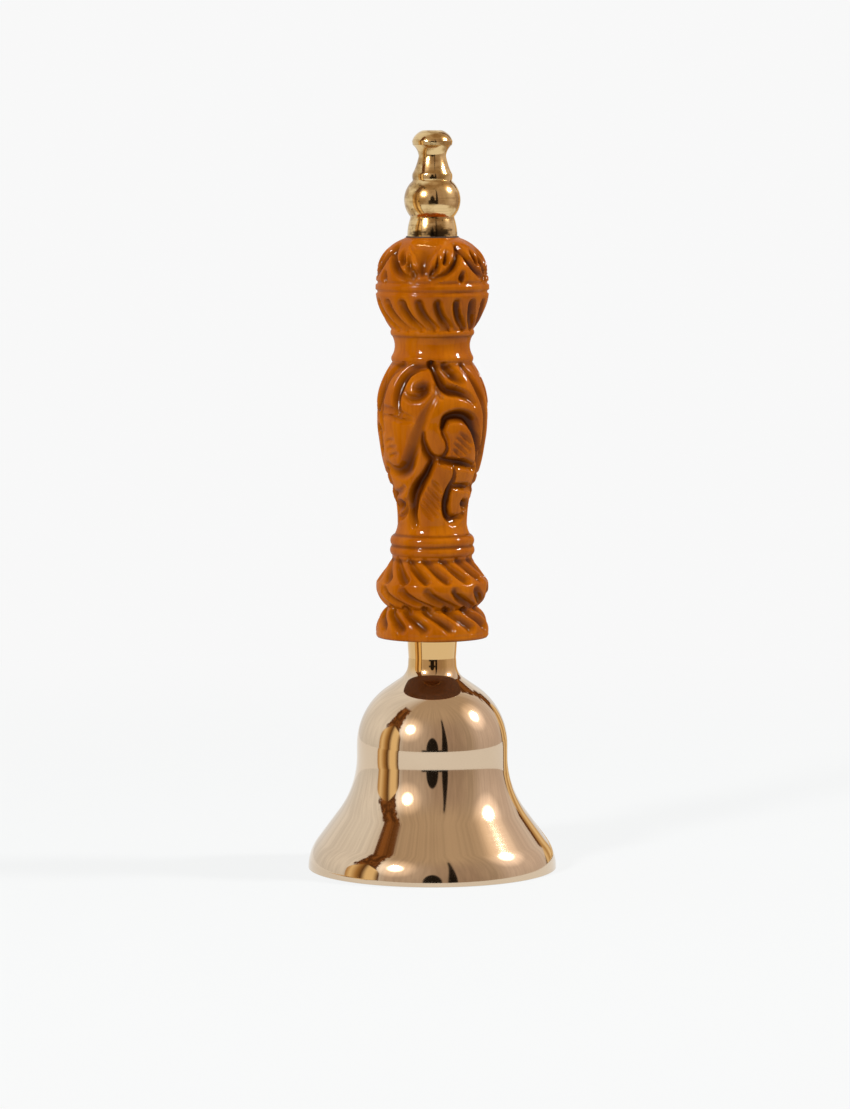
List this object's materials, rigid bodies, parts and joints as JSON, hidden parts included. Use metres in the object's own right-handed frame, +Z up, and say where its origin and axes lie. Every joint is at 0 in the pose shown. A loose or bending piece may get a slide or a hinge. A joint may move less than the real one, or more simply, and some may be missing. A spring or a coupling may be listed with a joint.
{
  "type": "hand bell",
  "caption": "Turned metal hand bell on a carved wooden handle with a finial, and a ball clapper hung from a link inside.",
  "frame": {"origin": "centre of the bell's mouth, on the plane that the rim rests on", "axes": "+Z runs up the bell's axis to the finial; the eye's ring lies in the XZ plane and the link's ring in the YZ plane"},
  "size_m": [0.0548, 0.0548, 0.1622],
  "materials": {
    "bell_brass": "mirror polished, pale",
    "lacquered_wood": "carved, stained amber and lacquered to a gloss",
    "finial_brass": "polished, lightly tarnished in the recesses",
    "fibre": "dark pressed fibre",
    "steel": "zinc plated",
    "clapper_brass": "turned, dull"
  },
  "bodies": {
    "bell_body": {"bell": "bell_brass", "handle": "lacquered_wood", "finial": "finial_brass", "finial_washer": "fibre", "neck_washer": "fibre", "tie_rod": "steel", "crown_washer": "steel", "crown_nut": "steel", "hanger_eye": "clapper_brass"},
    "link": {"clapper_link": "steel"},
    "clapper": {"clapper_shank": "steel", "clapper_ball": "clapper_brass"}
  },
  "joints": [
    {"name": "link_swing", "type": "hinge", "parent": "bell_body", "child": "link", "pos_m": [0, 0, 0.03135], "axis": [0, 1, 0], "range_deg": [-10, 10]},
    {"name": "clapper_swing", "type": "hinge", "parent": "link", "child": "clapper", "pos_m": [0, 0, 0.02765], "axis": [1, 0, 0], "range_deg": [-32, 32]}
  ]
}
